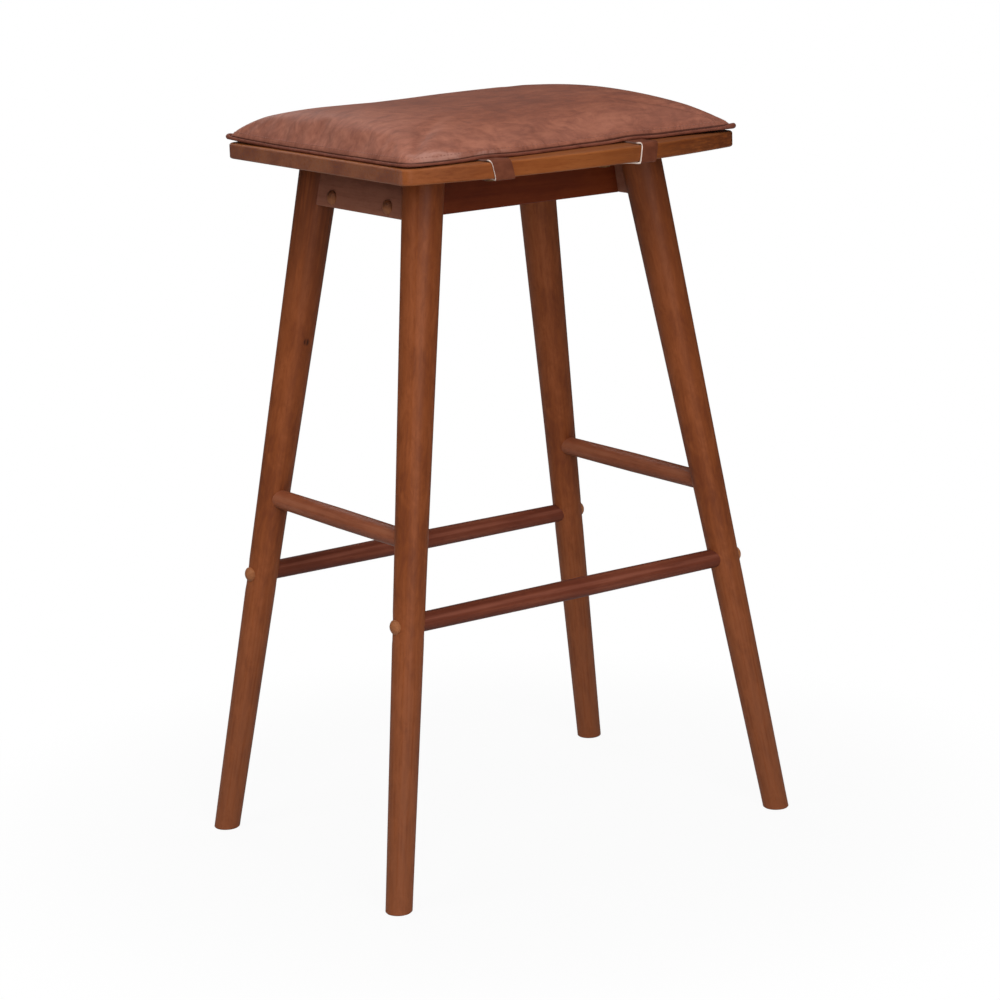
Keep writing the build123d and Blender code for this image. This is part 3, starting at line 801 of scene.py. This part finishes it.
board_half, board_corner, board_bow = 203.5, 164, 27  # half length, half depth at the ends, bow of a side
bow_radius = (board_half ** 2 + board_bow ** 2) / (2 * board_bow)
bow_centre = board_corner + board_bow - bow_radius
strap_width = 20.5
strap_thickness = 1.8
strap_toe_in = radians(5)
strap_end_radius = 6
strap_cup = 0.12
cut_edge_bevel = 0.25
fold_height, fold_drop = 717.2, 0.9

# Outer side of a strap and its tail: distance out from the board's edge, and height
strap_run = (
    (-50, 734.9), (-38, 734.9), (-27, 734.9), (-17, 735), (-8.5, 735.4), (-3, 735.8), (0.5, 734.5),
    (1.9, 731.6), (2.2, 727), (2.2, 722.5), (2.1, 718.3), (1.3, 715.7), (-1, 714.9), (-5, 714.8),
    (-10, 714.7), (-16, 714.3), (-22, 713.5), (-27, 712.8), (-34, 711.6), (-42, 710.4), (-50, 709.8),
    (-58, 709.8), (-66, 709.8),
)
fold_share = 11.2 / (len(strap_run) - 1)


def strap_frame(x, y_sign):
    """Place of a strap on the board's edge, and the directions out from the edge and along it."""
    out_y = sqrt(bow_radius ** 2 - x ** 2)
    edge = Vector((x, y_sign * (bow_centre + out_y), 0))
    out = Vector((x, y_sign * out_y, 0)).normalized()
    return edge, out, Vector((0, 0, 1)).cross(out)


def strap(row, side, x):
    """Strap and tail with pale cut edges, bent at the fold."""
    y_sign = 1 if row == "back" else -1
    edge, out, along = strap_frame(x, y_sign)
    drift = -tan(asin(x / bow_radius) + copysign(strap_toe_in, x)) * (1 if along.x > 0 else -1)
    mesh_tool = bmesh.new()
    bmesh.ops.create_grid(mesh_tool, x_segments=130, y_segments=10, size=1)
    outs = [point[0] for point in strap_run]
    ups = [point[1] for point in strap_run]
    fold_out, fold_up = smooth_through(outs, fold_share), smooth_through(ups, fold_share)
    for vert in mesh_tool.verts:
        share = (vert.co.x + 1) / 2
        away = smooth_through(outs, share)
        height = smooth_through(ups, share)
        run = away - fold_out + fold_up - height if share < fold_share else fold_out - away
        half = strap_width / 2 * sqrt(1 + drift ** 2)
        if share > fold_share:
            left = max(0, strap_end_radius - (away - outs[-1]))
            half -= strap_end_radius - sqrt(strap_end_radius ** 2 - left ** 2)
        cup = (vert.co.y ** 2 - 0.5) * strap_cup
        place = edge + out * (away - cup) + along * (vert.co.y * half + drift * run) + Vector((0, 0, height))
        vert.co = mm(*place)
    mesh_tool.normal_update()
    bmesh.ops.recalc_face_normals(mesh_tool, faces=mesh_tool.faces)
    mesh_tool.faces.ensure_lookup_table()
    bmesh.ops.solidify(mesh_tool, geom=mesh_tool.faces[:], thickness=mm(strap_thickness))
    mesh_tool.normal_update()
    rims = [face for face in mesh_tool.faces if abs(face.normal.dot(along)) > 0.7]
    for face in rims:
        face.material_index = 1
    rim_edges = {
        line for face in rims for line in face.edges
        if any(other.material_index == 0 for other in line.link_faces)
    }
    bmesh.ops.bevel(
        mesh_tool, geom=list(rim_edges), offset=mm(cut_edge_bevel),
        segments=2, affect="EDGES", profile=0.5, material=-1,
    )
    name = f"{row}_{side}_strap_leather"
    piece = piece_from(name, mesh_tool, strap_hide, raw_leather)
    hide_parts(f"strap_{row}_{side}", f"strap_tail_{row}_{side}")
    fold = edge + Vector((0, 0, fold_height))
    fold_end = fold - Vector((0, 0, fold_drop))
    mm(*fold)
    mm(*fold_end)
    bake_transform(piece)


for row in ("front", "back"):
    for side, x in strap_places.items():
        strap(row, side, x)


# Floor, backdrop and light

def white_stage():
    """Pale floor that keeps the stool's shadow and looks white from the camera."""
    paint = Paint("white paper floor")
    paint.join(paint.shader, {"Base Color": (0.65, 0.65, 0.65, 1), "Roughness": 0.9, "Specular IOR Level": 0.1})
    glow = paint.node("ShaderNodeEmission", {}, {"Color": (1, 1, 1, 1), "Strength": 1})
    seen = paint.node("ShaderNodeLightPath", output="Is Camera Ray")
    x, y, z = paint.parts_of(paint.place)
    away = (x * x + y * y).between(0.08, 0.45)
    share = seen * (0.94 + away * 0.06)
    mixed = paint.node("ShaderNodeMixShader", {}, {0: share, 1: Wire(paint, paint.shader.outputs[0]), 2: glow})
    paint.join(paint.tree.nodes["Material Output"], {"Surface": mixed})
    return paint.material


floor_tool = bmesh.new()
bmesh.ops.create_grid(floor_tool, x_segments=1, y_segments=1, size=6)
floor = piece_from("floor", floor_tool, white_stage())

ambient_strength = 0.05
world = bpy.data.worlds.new("studio")
scene.world = world
world.use_nodes = True
sky = world.node_tree
background = sky.nodes["Background"]
background.inputs["Color"].default_value = (1, 1, 1, 1)
background.inputs["Strength"].default_value = ambient_strength
plain = sky.nodes.new("ShaderNodeBackground")
plain.inputs["Color"].default_value = (1, 1, 1, 1)
plain.inputs["Strength"].default_value = 1
rays = sky.nodes.new("ShaderNodeLightPath")
choice = sky.nodes.new("ShaderNodeMixShader")
sky.links.new(rays.outputs["Is Camera Ray"], choice.inputs[0])
sky.links.new(background.outputs[0], choice.inputs[1])
sky.links.new(plain.outputs[0], choice.inputs[2])
sky.links.new(choice.outputs[0], sky.nodes["World Output"].inputs["Surface"])


def softbox(name, place, aim, size, power):
    """Square lamp that shines at a point."""
    light = bpy.data.lights.new(name, "AREA")
    light.shape = "SQUARE"
    light.size = size
    light.energy = power
    lamp = bpy.data.objects.new(name, light)
    aimed = (aim - place).to_track_quat("-Z", "Y").to_matrix().to_4x4()
    lamp.matrix_world = Matrix.Translation(place) @ aimed
    scene.collection.objects.link(lamp)


stool_middle = Vector((0, 0, 0.5))
softbox_size = 1.6
for name, place, power in (
    ("top softbox", (0.2, 0.2, 2.9), 21),
    ("back softbox", (0.4, 2.8, 1.8), 19),
    ("high front softbox", (-0.9, -2, 2.7), 32),
    ("front softbox", (-0.85, -2.9, 1.25), 40),
    ("left softbox", (-2.45, -0.1, 2.2), 27),
):
    softbox(name, Vector(place), stool_middle, softbox_size, power)

scene.view_settings.view_transform = "Standard"
